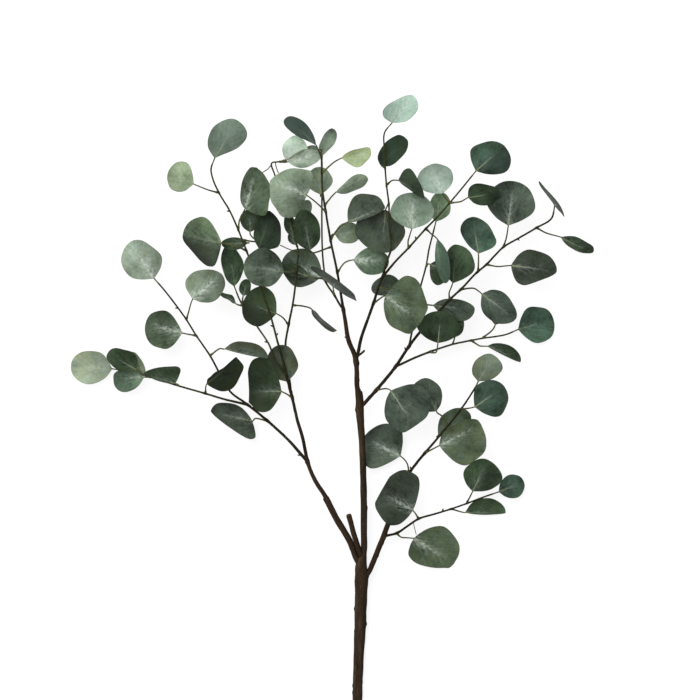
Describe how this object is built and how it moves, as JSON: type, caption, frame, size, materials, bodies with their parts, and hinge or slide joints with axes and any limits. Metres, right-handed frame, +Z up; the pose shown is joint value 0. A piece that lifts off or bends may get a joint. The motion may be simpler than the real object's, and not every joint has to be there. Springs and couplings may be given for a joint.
{
  "type": "eucalyptus branch",
  "caption": "Cut eucalyptus branch: a brown woody stem that forks into thin twigs with round silver-green leaves on slender stalks, lying flat.",
  "frame": {"origin": "on the surface the branch lies on, under the middle of its outline", "axes": "+Y along the stem from the cut end to the leaves, +Z up from the surface, +X to the right of the picture"},
  "size_m": [0.6352, 0.7906, 0.0883],
  "materials": {
    "bark": "dark brown fine-grained bark, matt",
    "twig": "olive green-brown young twig, satin",
    "leaf_silver": "pale silvery leaf with a waxy bloom, satin",
    "leaf_sage": "grey-green leaf with a waxy bloom, satin",
    "leaf_green": "mid green leaf, satin",
    "leaf_dark": "dark green leaf, satin",
    "leaf_olive": "dark grey-green leaf with a grey bloom, satin",
    "leaf_teal": "blue-green leaf, satin",
    "leaf_yellow": "pale yellow-green young leaf, satin"
  },
  "bodies": {
    "root": {"centre_back_twig": "twig", "centre_back_twig_leaf_1": "leaf_olive", "centre_back_twig_leaf_2": "leaf_olive", "cut_stub": "bark", "left_back_twig": "twig", "left_branch": "bark", "left_branch_leaf_1": "leaf_yellow", "left_branch_leaf_2": "leaf_green", "left_branch_leaf_3": "leaf_green", "left_branch_leaf_4": "leaf_dark", "left_branch_leaf_5": "leaf_dark", "left_branch_leaf_6": "leaf_olive", "left_inner_twig": "twig", "left_inner_twig_leaf_1": "leaf_dark", "left_inner_twig_leaf_2": "leaf_olive", "left_low_branch": "twig", "left_low_branch_leaf_1": "leaf_sage", "left_low_branch_leaf_2": "leaf_green", "left_low_branch_leaf_3": "leaf_olive", "left_outer_twig": "twig", "left_outer_twig_leaf_1": "leaf_dark", "left_outer_twig_leaf_2": "leaf_green", "left_outer_twig_leaf_3": "leaf_dark", "low_branch": "bark", "low_branch_leaf_1": "leaf_olive", "low_branch_leaf_2": "leaf_green", "low_branch_leaf_3": "leaf_teal", "low_twig": "twig", "low_twig_leaf_1": "leaf_green", "low_twig_leaf_2": "leaf_olive", "low_twig_leaf_3": "leaf_dark", "low_twig_leaf_4": "leaf_dark", "main_stem": "bark", "main_stem_leaf_1": "leaf_yellow", "main_stem_leaf_2": "leaf_sage", "main_stem_leaf_3": "leaf_sage", "main_stem_leaf_4": "leaf_olive", "main_stem_leaf_5": "leaf_green", "right_branch": "bark", "right_branch_leaf_1": "leaf_olive", "right_branch_leaf_2": "leaf_dark", "right_branch_leaf_3": "leaf_olive", "right_branch_leaf_4": "leaf_teal", "right_branch_leaf_5": "leaf_olive", "right_branch_leaf_6": "leaf_olive", "right_branch_leaf_7": "leaf_dark", "right_inner_twig": "twig", "right_low_twig": "twig", "right_low_twig_leaf_1": "leaf_dark", "right_low_twig_leaf_2": "leaf_dark", "tall_branch": "bark", "tall_branch_leaf_1": "leaf_olive", "tall_branch_leaf_2": "leaf_dark", "tall_branch_leaf_3": "leaf_dark", "tall_branch_leaf_4": "leaf_green", "upper_right_twig": "twig", "upper_right_twig_leaf_1": "leaf_sage", "upper_right_twig_leaf_2": "leaf_silver", "upper_right_twig_leaf_3": "leaf_dark", "upper_right_twig_leaf_4": "leaf_green"}
  },
  "joints": []
}
